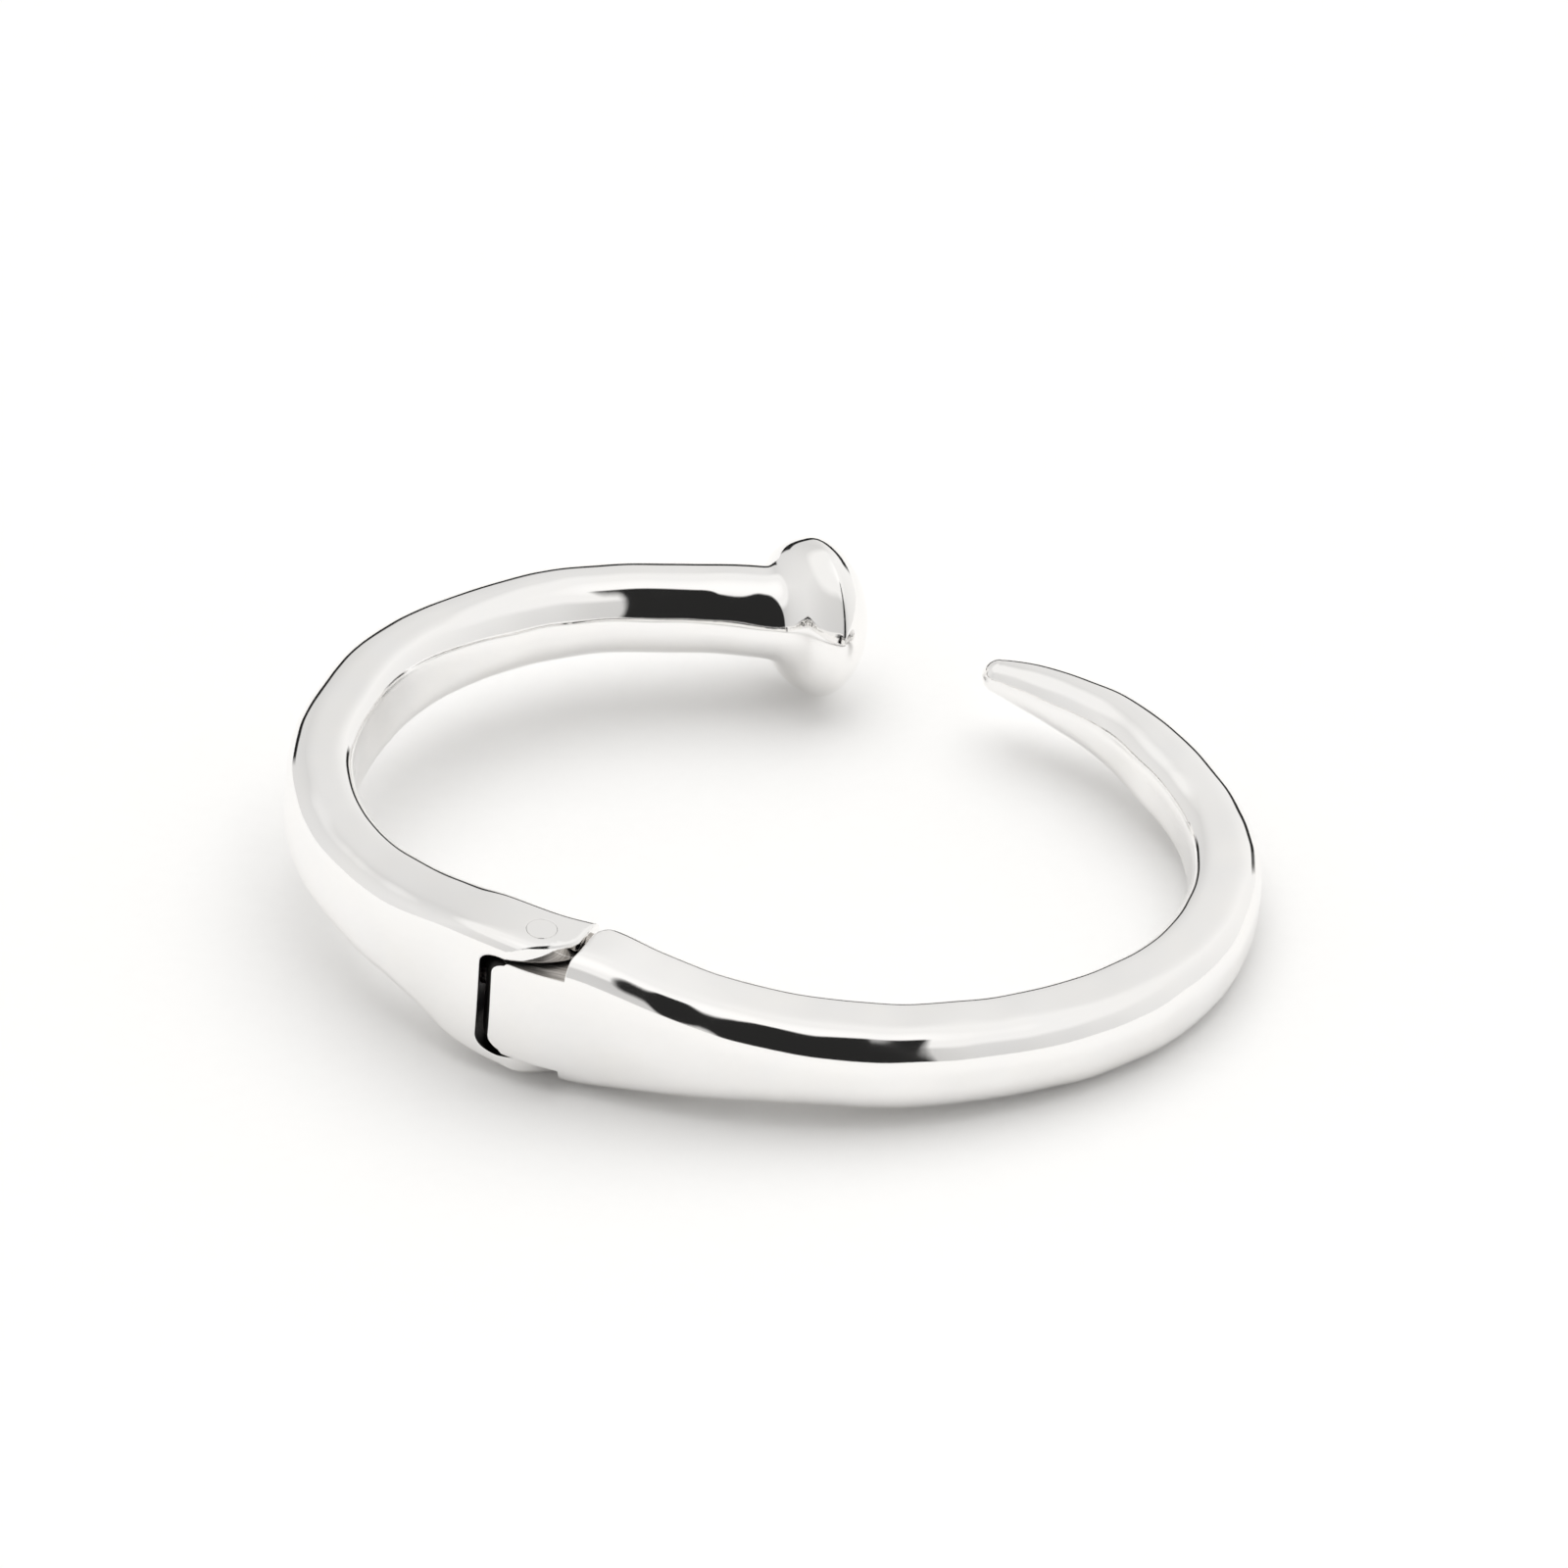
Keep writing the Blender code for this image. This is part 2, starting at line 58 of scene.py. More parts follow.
# Cross-sections: degrees round the oval, how far outside the oval the middle runs, the width, the height
# and the radii of the inner and outer corners, in mm.
HINGE_ROWS = (
    (-123.0, 0.4, 5.9, 11.0, 1.0, 1.0),
    (-114.0, 0.35, 5.9, 11.3, 0.9, 0.9),
    (-105.0, -0.2, 5.9, 11.3, 0.9, 0.9),
)
HEAD_ARM_ROWS = HINGE_ROWS[::-1] + (
    (-131.0, 0.2, 5.6, 9.2, 1.1, 1.2),
    (-141.0, 0.3, 5.4, 7.6, 1.2, 1.4),
    (-153.0, 0.5, 5.1, 6.9, 1.3, 1.5),
    (-167.0, 0.2, 4.9, 6.9, 1.3, 1.6),
    (-182.0, -0.6, 5.2, 6.9, 1.3, 1.8),
    (-197.0, -0.3, 5.6, 6.6, 1.8, 2.2),
    (-212.0, 0.0, 6.0, 6.3, 2.4, 2.6),
    (-226.0, 0.4, 6.4, 6.7, 2.9, 3.0),
    (-241.0, 0.1, 6.7, 6.7, 3.1, 3.1),
    (-254.0, 0.2, 7.0, 7.0, 3.5, 3.5),
)
# The nail's head, turned outwards and a little down: how far past the shank's end, and its radius, in mm.
HEAD_PROFILE = (
    (-1.0, 3.5), (-0.2, 3.48), (0.45, 3.5), (0.9, 3.62), (1.25, 4.0), (1.6, 4.5), (2.0, 4.98), (2.45, 5.34),
    (3.0, 5.62), (3.6, 5.84), (3.9, 5.95), (4.12, 5.95), (4.6, 5.83), (5.1, 5.58), (5.6, 5.2), (6.1, 4.68),
    (6.6, 3.95), (7.0, 3.15), (7.3, 2.25), (7.5, 1.3), (7.57, 0.7), (7.59, 0.25),
)
HEAD_DISTANCE = 3.9
HEAD_TURNS_FROM, HEAD_TURNED_BY = -1.0, 1.7
HEAD_TURNED_DOWN = 6.0
HEAD_TURNED_OUT = 25.0
HEAD_RINGS = 130
NECK_FROM = -4
FLAT_SWELL = 0.2
SIZE_EASING, PROFILE_EASING, JOIN_EASING = 30, 8, 40
JOIN_REACH = 9
BROAD_BLOWS, SMALL_BLOWS = (0.16, 0.15), (0.05, 0.33)
UNHAMMERED, FULLY_HAMMERED = 2.0, 10.0
EAR_THICKNESS = 1.4 * MM
EAR_REACH = 2.85 * MM
EAR_ROUNDING = 0.38 * MM
EAR_CURVE_FROM = (-2.6 * MM, 0.4 * MM)
EAR_CURVE_POWER = 1.25
HINGE_WIDTH = 5.9 * MM
HINGE_HEIGHT = 11.3 * MM
KNUCKLE_RADII = (2.9 * MM, 3.6 * MM)
SLOT_FLOOR = 4.25 * MM
SLOT_HALF = HINGE_HEIGHT / 2 - EAR_THICKNESS
SLOT_ROUNDING = 1.1 * MM
# How far the saw-marked silver's colour is scaled down to paint shade into the slot, the bores and the
# knuckle's sides.
SLOT_PAINTED_SHADE = 0.06
PIN_HOLE = 1.07 * MM
BORE_HOLE = 1.25 * MM
BORE_FROM, BORE_TO = 3.2 * MM, 11.1 * MM
CLEAR = 14.0 * MM


def midline(degrees, outset):
    """A point of the arms' midline about the oval's middle, some way outside the oval."""
    angle = math.radians(degrees)
    radius = 1.0 / math.hypot(math.cos(angle) / OVAL_HALF[0], math.sin(angle) / OVAL_HALF[1]) + outset
    return Vector((radius * math.cos(angle), radius * math.sin(angle), 0.0))


pin_low, pin_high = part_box("hinge_pin")
pin_middle = (pin_low + pin_high) / 2
oval_middle = pin_middle - midline(HINGE_AT, HINGE_OUTSET)


def slopes(rows, index):
    """How fast each size changes at a row, level where it has a crest or a hollow."""
    if index in (0, len(rows) - 1):
        return [0.0] * (len(rows[0]) - 1)
    before, here, after = rows[index - 1:index + 2]
    found = []
    for first, value, last in zip(before[1:], here[1:], after[1:]):
        behind = (value - first) / (here[0] - before[0])
        ahead = (last - value) / (after[0] - here[0])
        found.append(2 * behind * ahead / (behind + ahead) if behind * ahead > 0 else 0.0)
    return found


def sizes_at(rows, place):
    """The sizes at any place, eased between the given rows."""
    index = 0
    while index < len(rows) - 2 and (place - rows[index + 1][0]) * (rows[1][0] - rows[0][0]) > 0:
        index += 1
    first, second = rows[index], rows[index + 1]
    turn = second[0] - first[0]
    t = (place - first[0]) / turn
    return [a * (1 - t) ** 2 * (1 + 2 * t) + b * t ** 2 * (3 - 2 * t)
            + turn * (p * t * (1 - t) ** 2 - q * t ** 2 * (1 - t))
            for a, b, p, q in zip(first[1:], second[1:], slopes(rows, index), slopes(rows, index + 1))]


def section_ring(width, height, inner, outer):
    """A hammered section: sides that swell a little, and corners that ease into them."""
    points = []
    half = min(width, height) / 2
    quarters = ((1, 1), (-1, 1), (-1, -1), (1, -1))
    corners = []
    for side, rise in quarters:
        radius = min(inner if side > 0 else outer, 0.98 * half)
        boxy = 1 - radius / half
        radius = min(radius * (1 + 0.35 * boxy), 0.98 * half)
        power = 2 + 0.7 * boxy
        arc = []
        for cut in range(CORNER_CUTS + 1):
            angle = math.pi / 2 * cut / CORNER_CUTS
            c, s = math.cos(angle), math.sin(angle)
            reach = radius / (abs(c) ** power + abs(s) ** power) ** (1 / power)
            arc.append((width / 2 - radius + reach * c, height / 2 - radius + reach * s))
        arc = arc if side * rise > 0 else arc[::-1]
        corners.append([(side * x, rise * z) for x, z in arc])
    for arc, following in zip(corners, corners[1:] + corners[:1]):
        points += arc
        start, end = arc[-1], following[0]
        for cut in range(1, SIDE_CUTS):
            t = cut / SIDE_CUTS
            points.append((start[0] + (end[0] - start[0]) * t, start[1] + (end[1] - start[1]) * t))
    ring = np.array(points)
    for _ in range(3):
        ring = 0.5 * ring + 0.25 * (np.roll(ring, 1, 0) + np.roll(ring, -1, 0))
    reach = np.array((width, height)) / 2
    swell = FLAT_SWELL * (1 - max(inner, outer) / half)
    ring *= 1 - swell * (ring / reach)[:, ::-1] ** 2 / reach
    return ring * (2 * reach / (ring.max(0) - ring.min(0)))


def standing(origin, ahead):
    """A frame at the bar's middle height: X along the bar, Y towards the wrist, Z up."""
    across = Vector((-ahead.y, ahead.x, 0.0))
    return Matrix(((ahead.x, across.x, 0.0, origin.x), (ahead.y, across.y, 0.0, origin.y),
                   (0.0, 0.0, 1.0, pin_middle.z), (0.0, 0.0, 0.0, 1.0)))


def ring_place(rows, degrees):
    """Where the section at some angle stands."""
    def place_at(angle):
        return midline(angle, sizes_at(rows, angle)[0] * MM)
    here = place_at(degrees)
    ahead = (place_at(degrees + 1.5) - place_at(degrees - 1.5)).normalized()
    return standing(oval_middle + here, ahead)


def bar_rings(rows):
    """All the rings of a bar, bent along the oval, as an array of points."""
    span = rows[-1][0] - rows[0][0]
    count = round(abs(span) / RING_STEP)
    turns = [rows[0][0] + step * span / count for step in range(count + 1)]
    sizes = np.array([sizes_at(rows, turn) for turn in turns])
    for _ in range(SIZE_EASING):
        sizes[1:-1] = 0.5 * sizes[1:-1] + 0.25 * (sizes[:-2] + sizes[2:])
    spine = [oval_middle + midline(turn, size[0] * MM) for turn, size in zip(turns, sizes)]
    rings = []
    for index, (outset, width, height, inner, outer) in enumerate(sizes):
        ahead = (spine[min(index + 2, count)] - spine[max(index - 2, 0)]).normalized()
        ahead *= math.copysign(1.0, span)
        matrix = standing(spine[index], ahead)
        ring = section_ring(width, height, inner, outer) * MM
        rings.append([matrix @ Vector((0.0, y, z)) for y, z in ring])
    return np.array(rings), matrix


def hammered(points):
    """Dress a bar's rings with the planishing hammer: shallow blows that run into each other."""
    along = np.gradient(points, axis=0)
    around = (np.roll(points, -1, 1) - np.roll(points, 1, 1)) / 2
    normals = np.cross(around, along)
    normals /= np.linalg.norm(normals, axis=2, keepdims=True) + 1e-12
    middles = points.mean(1, keepdims=True)
    if ((points - middles) * normals).sum() < 0:
        normals = -normals
    push = np.zeros(points.shape[:2])
    for index in np.ndindex(push.shape):
        spot = Vector(points[index]) / MM
        from_pin = (spot - pin_middle / MM).xy.length
        level = min(1.0, max(0.0, (from_pin - UNHAMMERED) / (FULLY_HAMMERED - UNHAMMERED)))
        broad, small = (depth * noise.noise(spot * often + place) for (depth, often), place in (
            (BROAD_BLOWS, Vector((7.1, 3.3, 1.9))), (SMALL_BLOWS, Vector((1.7, 9.2, 4.4)))))
        push[index] = level * (broad + small)
    return points + normals * (push * MM)[..., None]


def forged_bar(name, points):
    """Draw a round bar from a circle, then move its rings where the hammer or the saw leaves them."""
    count, spokes = points.shape[:2]
    bpy.ops.mesh.primitive_circle_add(vertices=spokes, radius=3 * MM, fill_type="NOTHING")
    bar = bpy.context.object
    bar.name = bar.data.name = name
    drawn = bar.modifiers.new("drawn", "SCREW")
    drawn.angle = 0.0
    drawn.screw_offset = count * MM
    drawn.steps = count - 1
    drawn.render_steps = count - 1
    drawn.use_normal_calculate = True
    bpy.ops.object.modifier_apply(modifier="drawn")
    spots = np.array([v.co for v in bar.data.vertices])
    ring_of = np.rint(spots[:, 2] / (count * MM) * (count - 1)).astype(int)
    turn = np.degrees(np.arctan2(spots[:, 1], spots[:, 0])) % 360
    spoke = np.rint(turn / 360 * spokes).astype(int) % spokes
    bar.data.vertices.foreach_set("co", points[ring_of, spoke].astype(np.float32).ravel())
    bpy.ops.object.mode_set(mode="EDIT")
    bpy.ops.mesh.select_all(action="DESELECT")
    bpy.ops.mesh.select_non_manifold()
    bpy.ops.mesh.fill_holes(sides=0)
    bpy.ops.mesh.select_all(action="SELECT")
    bpy.ops.mesh.normals_make_consistent(inside=False)
    bpy.ops.object.mode_set(mode="OBJECT")
    return bar


def polished(piece, limit=32.0):
    """Smooth the surface, leaving only real edges sharp."""
    bpy.ops.object.select_all(action="DESELECT")
    piece.select_set(True)
    bpy.context.view_layer.objects.active = piece
    bpy.ops.object.shade_smooth_by_angle(angle=math.radians(limit))


class Wire:
    """A shader socket that ordinary arithmetic works on."""

    def __init__(self, finish, socket):
        self.finish = finish
        self.socket = socket

    def maths(self, operation, *values):
        return self.finish.add("ShaderNodeMath", {"operation": operation}, *values)

    def __add__(self, other):
        return self.maths("ADD", self, other)

    def __sub__(self, other):
        return self.maths("SUBTRACT", self, other)

    def __rsub__(self, other):
        return self.maths("SUBTRACT", other, self)

    def __mul__(self, other):
        return self.maths("MULTIPLY", self, other)

    def __truediv__(self, other):
        return self.maths("DIVIDE", self, other)

    def clipped(self):
        return self.maths("MINIMUM", self.maths("MAXIMUM", self, 0.0), 1.0)

    __radd__ = __add__
    __rmul__ = __mul__


class Finish:
    """The nodes of one material or of the room's light."""

    def __init__(self, tree):
        self.tree = tree

    def add(self, kind, settings, *values, output=0, **named):
        """Add a node, set it up, and feed its sockets with numbers or wires."""
        node = self.tree.nodes.new(kind)
        for name, value in settings.items():
            if name == "stops":
                ramp = node.color_ramp
                while len(ramp.elements) < len(value):
                    ramp.elements.new(0.5)
                for element, (place, colour) in zip(ramp.elements, value):
                    element.position = place
                    element.color = (*colour, 1.0)
            else:
                setattr(node, name, value)
        for index, value in enumerate(values):
            self.feed(node.inputs[index], value)
        for name, value in named.items():
            self.feed(node.inputs[name.replace("_", " ")], value)
        return Wire(self, node.outputs[output])

    def feed(self, socket, value):
        if isinstance(value, Wire):
            self.tree.links.new(value.socket, socket)
        else:
            socket.default_value = value


def metal(name, colour, roughness, texture):
    """A metal whose colour, roughness and surface come from its own texture function."""
    material = bpy.data.materials.new(name)
    material.use_nodes = True
    finish = Finish(material.node_tree)
    shader = material.node_tree.nodes["Principled BSDF"]
    shader.inputs["Metallic"].default_value = 1.0
    shader.inputs["Roughness"].default_value = roughness
    shader.inputs["Base Color"].default_value = (*colour, 1.0)
    texture(finish, shader)
    return material


def hand_polish(seed, rounding):
    """Bright silver from the buffing wheel: a faint haze, fine hairlines and softened edges."""
    def texture(finish, shader):
        spot = finish.add("ShaderNodeTexCoord", {}, output=3)
        moved = finish.add("ShaderNodeMapping", {}, Vector=spot, Location=(seed, seed * 0.7, 0.0))
        haze = finish.add("ShaderNodeTexNoise", {}, Vector=moved, Scale=260.0, Detail=4.0)
        drawn = finish.add("ShaderNodeMapping", {}, Vector=moved, Scale=(1.0, 1.0, 9.0))
        hairs = finish.add("ShaderNodeTexNoise", {}, Vector=drawn, Scale=1500.0, Detail=3.0)
        finish.feed(shader.inputs["Roughness"], 0.022 + haze * 0.035 + hairs * 0.012)
        tones = {"stops": ((0.3, (0.955, 0.945, 0.93)), (0.7, (0.94, 0.935, 0.93)))}
        tarnish = finish.add("ShaderNodeValToRGB", tones, haze)
        finish.feed(shader.inputs["Base Color"], tarnish)
        edge = finish.add("ShaderNodeBevel", {"samples": 6}, Radius=rounding)
        wave = finish.add("ShaderNodeTexNoise", {}, Vector=moved, Scale=900.0, Detail=2.0)
        raised = finish.add("ShaderNodeBump", {}, Strength=0.06, Distance=0.00002, Height=wave, Normal=edge)
        finish.feed(shader.inputs["Normal"], raised)
    return texture


def saw_marks(heading, light=1.0):
    """Metal as the saw and file leave it: dull, with close parallel scratches."""
    def texture(finish, shader):
        spot = finish.add("ShaderNodeTexCoord", {}, output=3)
        turned = finish.add("ShaderNodeMapping", {}, Vector=spot, Rotation=(0.0, 0.0, heading),
                            Scale=(1.0, 14.0, 14.0))
        marks = finish.add("ShaderNodeTexNoise", {}, Vector=turned, Scale=420.0, Detail=5.0)
        finish.feed(shader.inputs["Roughness"], 0.26 + marks * 0.22)
        # light scales both tones down; a low value paints shade into the metal's colour.
        dull, bright = ([light * part for part in tone] for tone in ((0.30, 0.28, 0.26), (0.72, 0.69, 0.66)))
        shade = finish.add("ShaderNodeValToRGB", {"stops": ((0.3, dull), (0.7, bright))}, marks)
        finish.feed(shader.inputs["Base Color"], shade)
        edge = finish.add("ShaderNodeBevel", {"samples": 6}, Radius=0.10 * MM)
        raised = finish.add("ShaderNodeBump", {}, Strength=0.5, Distance=0.00003, Height=marks, Normal=edge)
        finish.feed(shader.inputs["Normal"], raised)
    return texture


hinge_place = ring_place(HINGE_ROWS, HINGE_AT)
plunger_low, plunger_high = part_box("plunger")
bore_way = (plunger_low + plunger_high) / 2 - pin_middle
bore_heading = math.atan2(bore_way.y, bore_way.x)
head_silver = metal("hand_polished_silver_head_arm", (0.95, 0.94, 0.93), 0.04, hand_polish(0.013, 0.16 * MM))
sawn_silver = metal("sawn_silver", (0.7, 0.68, 0.66), 0.3, saw_marks(0.35))


# Silver painted near black: painted shade for the slot between the ears, the drilled bores and the knuckle's
# sides, which lie in shadow.
shade_painted_silver = metal("silver_painted_shade", (0.03, 0.027, 0.025), 0.5, saw_marks(0.35, SLOT_PAINTED_SHADE))


def cutter(name, levels):
    """A saw or file cut as a solid: outlines in the hinge's frame, one for each height."""
    rings = [[hinge_place @ Vector((x, y, z)) for x, y in outline] for z, outline in levels]
    return forged_bar(name, np.array(rings))


def rounded_levels(half, rounding, steps=10):
    """Heights from the bottom to the top, and how far the outline stands back at each."""
    quarter = [math.pi / 2 * step / steps for step in range(steps + 1)]
    low = [(-half + rounding * (1 - math.cos(turn)), rounding * (1 - math.sin(turn))) for turn in quarter]
    return low + [(-z, back) for z, back in low[::-1]]


def drill(name, radius, start, end, matrix):
    """A drilled hole as a solid, along Z of its own frame."""
    bpy.ops.mesh.primitive_cylinder_add(vertices=96, radius=radius, depth=end - start,
                                        location=(0.0, 0.0, (start + end) / 2))
    tool = bpy.context.object
    tool.name = tool.data.name = name
    bpy.ops.object.transform_apply(location=True, rotation=True, scale=True)
    tool.data.transform(matrix)
    return tool


# Unless told otherwise, new faces take the third material, the silver painted near black as shade.
def worked(piece, tool, operation="DIFFERENCE", raw=2):
    """Saw, drill or join one solid with another; the new faces take a finish, or keep the tool's."""
    if raw is not None:
        tool.data.materials.clear()
        for material in piece.data.materials:
            tool.data.materials.append(material)
        tool.data.polygons.foreach_set("material_index", [raw] * len(tool.data.polygons))
    cut = piece.modifiers.new("cut", "BOOLEAN")
    cut.operation = operation
    cut.solver = "EXACT"
    cut.object = tool
    bpy.ops.object.select_all(action="DESELECT")
    piece.select_set(True)
    bpy.context.view_layer.objects.active = piece
    bpy.ops.object.modifier_apply(modifier="cut")
    bpy.data.objects.remove(tool)


def about(radius, start, end, steps):
    """Points round the hinge's axis."""
    turns = [math.radians(start + (end - start) * step / steps) for step in range(steps + 1)]
    return [(radius * math.cos(turn), radius * math.sin(turn)) for turn in turns]


points, shank_place = bar_rings(HEAD_ARM_ROWS)
profile = np.array(HEAD_PROFILE)
walk = np.concatenate(([0.0], np.cumsum(np.hypot(*np.diff(profile[:, :2], axis=0).T))))
places = np.linspace(0.0, walk[-1], HEAD_RINGS)
smooth_profile = np.stack([np.interp(places, walk, column) for column in profile.T], 1)
for _ in range(PROFILE_EASING):
    smooth_profile[1:-1] = 0.5 * smooth_profile[1:-1] + 0.25 * (smooth_profile[:-2] + smooth_profile[2:])
round_ring = section_ring(7.0, 7.0, 3.5, 3.5)
round_ring /= np.linalg.norm(round_ring, axis=1, keepdims=True)
head_points = []
for ahead, radius in smooth_profile:
    share = min(1.0, (ahead - HEAD_TURNS_FROM) / (HEAD_TURNED_BY - HEAD_TURNS_FROM))
    askew = math.radians(share * share * (3 - 2 * share))
    straight = min(ahead, HEAD_DISTANCE)
    turned = (Matrix.Rotation(-HEAD_TURNED_DOWN * askew, 4, "Y")
              @ Matrix.Rotation(HEAD_TURNED_OUT * askew, 4, "Z"))
    place = shank_place @ Matrix.Translation((-straight * MM, 0.0, 0.0)) @ turned
    head_points.append([place @ Vector(((straight - ahead) * MM, radius * y * MM, radius * z * MM))
                        for y, z in round_ring])
points = np.concatenate((points[:NECK_FROM], np.array(head_points)))
first = len(points) - HEAD_RINGS - JOIN_REACH
last = first + 2 * JOIN_REACH
for _ in range(JOIN_EASING):
    beside = points[first - 1:last - 1] + points[first + 1:last + 1]
    points[first:last] = 0.5 * points[first:last] + 0.25 * beside
points = hammered(points)
head_arm = forged_bar("head_arm_forging", points)
for material in (head_silver, sawn_silver, shade_painted_silver):
    head_arm.data.materials.append(material)


def ear_end_outline(back):
    """What is sawn off past the ears: square towards the wrist, falling away outside."""
    along, across = EAR_CURVE_FROM
    long = EAR_REACH - along - back
    wide = HINGE_WIDTH / 2 + 0.05 * MM + across - back
    curve = [(along + long * abs(x) ** EAR_CURVE_POWER, across - wide * abs(y) ** EAR_CURVE_POWER)
             for x, y in about(1.0, 0.0, 90.0, 48)]
    return [(CLEAR, CLEAR), (EAR_REACH - back, CLEAR)] + curve + [(curve[-1][0], -CLEAR), (CLEAR, -CLEAR)]


def slot_outline(back):
    """The slot between the ears, hollowed about the pin."""
    floor = about(SLOT_FLOOR - back, 120.0, 240.0, 72)
    return floor + [(CLEAR, floor[-1][1]), (CLEAR, floor[0][1])]


ear_levels = rounded_levels(HINGE_HEIGHT / 2, EAR_ROUNDING)
ear_levels = [(-CLEAR, EAR_ROUNDING)] + ear_levels + [(CLEAR, EAR_ROUNDING)]
slot_levels = rounded_levels(SLOT_HALF, SLOT_ROUNDING)
worked(head_arm, cutter("ear_end", [(z, ear_end_outline(back)) for z, back in ear_levels]), raw=0)
# The slot's sawn faces take the silver painted near black: painted shade in the gap between the ears.
worked(head_arm, cutter("slot", [(z, slot_outline(back)) for z, back in slot_levels]))
worked(head_arm, drill("ear_hole", PIN_HOLE, -CLEAR, CLEAR, hinge_place), raw=0)
bore_turn = Matrix.Rotation(bore_heading, 4, "Z") @ Matrix.Rotation(math.pi / 2, 4, "Y")
bore_place = Matrix.Translation(pin_middle) @ bore_turn
# The spring bore's walls also take the silver painted near black: painted shade inside the hole.
worked(head_arm, drill("spring_bore", BORE_HOLE, BORE_FROM, BORE_TO, bore_place))
polished(head_arm)
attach(head_arm, "head_arm")
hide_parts("head_arm")

# --- Point arm -------------------------------------------------------------------------------------
# The shorter arm, hammered down from the same bar to the blunt point of a nail. A rounded knuckle at
# its thick end turns between the ears; its top and bottom are left as the file leaves them.
POINT_ARM_ROWS = (
    (-123.0, 0.4, 5.9, 11.0, 0.9, 1.6),
    (-114.0, 0.35, 5.9, 11.3, 0.9, 1.7),
    (-105.0, -0.2, 5.9, 11.0, 0.9, 1.7),
    (-96.0, -0.2, 5.7, 9.5, 0.9, 1.6),
    (-82.0, 0.0, 5.7, 7.7, 1.0, 1.9),
    (-68.0, 0.2, 5.8, 6.7, 1.0, 2.1),
    (-52.0, 0.3, 5.8, 6.3, 1.1, 2.1),
    (-35.0, 0.2, 5.8, 6.1, 1.1, 2.0),
    (-17.0, 0.3, 5.5, 6.0, 1.1, 1.8),
    (1.0, 0.0, 5.2, 5.4, 1.1, 1.7),
    (18.0, 0.0, 5.1, 5.0, 1.2, 1.7),
    (31.0, -0.1, 5.0, 5.1, 1.4, 1.8),
    (42.0, 0.2, 4.7, 4.9, 1.7, 1.9),
    (52.0, 0.0, 4.2, 4.1, 1.8, 1.8),
    (60.0, -0.3, 3.4, 3.3, 1.5, 1.5),
    (63.5, -0.6, 2.6, 2.5, 1.2, 1.2),
)
NOSE_RINGS = 24
KNUCKLE_HALF = SLOT_HALF - 0.3 * MM
KNUCKLE_ROUNDING = 1.2 * MM
KNUCKLE_HOLE = 1.1 * MM
SHOULDER = EAR_REACH + 0.3 * MM
SHOULDER_ROUNDING = 1.4 * MM
OPENING = 40.0
FAR = 120.0 * MM

points, nose_place = bar_rings(POINT_ARM_ROWS)
points = hammered(points)
_, width, height, inner, outer = POINT_ARM_ROWS[-1][1:]
nose = []
for step in range(1, NOSE_RINGS + 1):
    angle = math.radians(88.0 * step / NOSE_RINGS)
    ring = section_ring(width, height, inner, outer) * math.cos(angle) * MM
    ahead = math.sin(angle) * width / 2 * MM
    nose.append([nose_place @ Vector((ahead, y, z)) for y, z in ring])
points = np.concatenate((points, np.array(nose)))
point_arm = forged_bar("point_arm_forging", points)
point_silver = metal("hand_polished_silver_point_arm", (0.95, 0.94, 0.93), 0.04,
                     hand_polish(0.041, 0.16 * MM))
for material in (point_silver, sawn_silver, shade_painted_silver):
    point_arm.data.materials.append(material)
ramp_start = math.degrees(math.atan2(*(hinge_place.to_3x3().inverted() @ Vector(
    (math.cos(bore_heading), math.sin(bore_heading), 0.0))).yx)) % 360


def knuckle_outline(back):
    """The knuckle from above: round, but for the ramp that lifts the plunger as it opens."""
    first, last = KNUCKLE_RADII
    edge = about(first - back, 95.0, ramp_start, 36)[:-1]
    for step in range(49):
        share = step / 48
        turn = math.radians(ramp_start + OPENING * share)
        radius = first + (last - first) * share - back
        edge.append((radius * math.cos(turn), radius * math.sin(turn)))
    edge += about(last - back, ramp_start + OPENING, 245.0, 24)[1:]
    return edge + [(edge[-1][0], -HINGE_WIDTH), (CLEAR, -HINGE_WIDTH), (CLEAR, HINGE_WIDTH),
                   (edge[0][0], HINGE_WIDTH)]


def shoulder_outline(back):
    """The room for the arm past its shoulder, which is rounded where it meets the wrist's side."""
    start, corner = SHOULDER + back, HINGE_WIDTH / 2 - back
    curve = [(start + SHOULDER_ROUNDING * (1 - x), corner - SHOULDER_ROUNDING * (1 - y))
             for x, y in about(1.0, 0.0, 90.0, 24)]
    return ([(FAR, FAR), (-CLEAR, FAR), (-CLEAR, HINGE_WIDTH), (curve[-1][0], HINGE_WIDTH)] + curve[::-1]
            + [(start, -CLEAR), (FAR, -CLEAR)])


knuckle_levels = rounded_levels(KNUCKLE_HALF, KNUCKLE_ROUNDING)
knuckle = cutter("knuckle", [(z, knuckle_outline(back)) for z, back in knuckle_levels])
shoulder_levels = rounded_levels(HINGE_HEIGHT / 2 - 0.1 * MM, EAR_ROUNDING)
shoulder_levels = [(-CLEAR, EAR_ROUNDING)] + shoulder_levels + [(CLEAR, EAR_ROUNDING)]
room = cutter("room", [(z, shoulder_outline(back)) for z, back in shoulder_levels])
for material in (point_silver, sawn_silver, shade_painted_silver):
    room.data.materials.append(material)
worked(room, knuckle, "UNION", raw=1)
worked(point_arm, room, "INTERSECT", raw=None)
# The knuckle's round sides, down in the slot, take the silver painted near black: painted shade. Its filed
# top and bottom stay sawn silver.
for face in point_arm.data.polygons:
    if face.material_index == 1 and abs(face.normal.z) < 0.9:
        face.material_index = 2
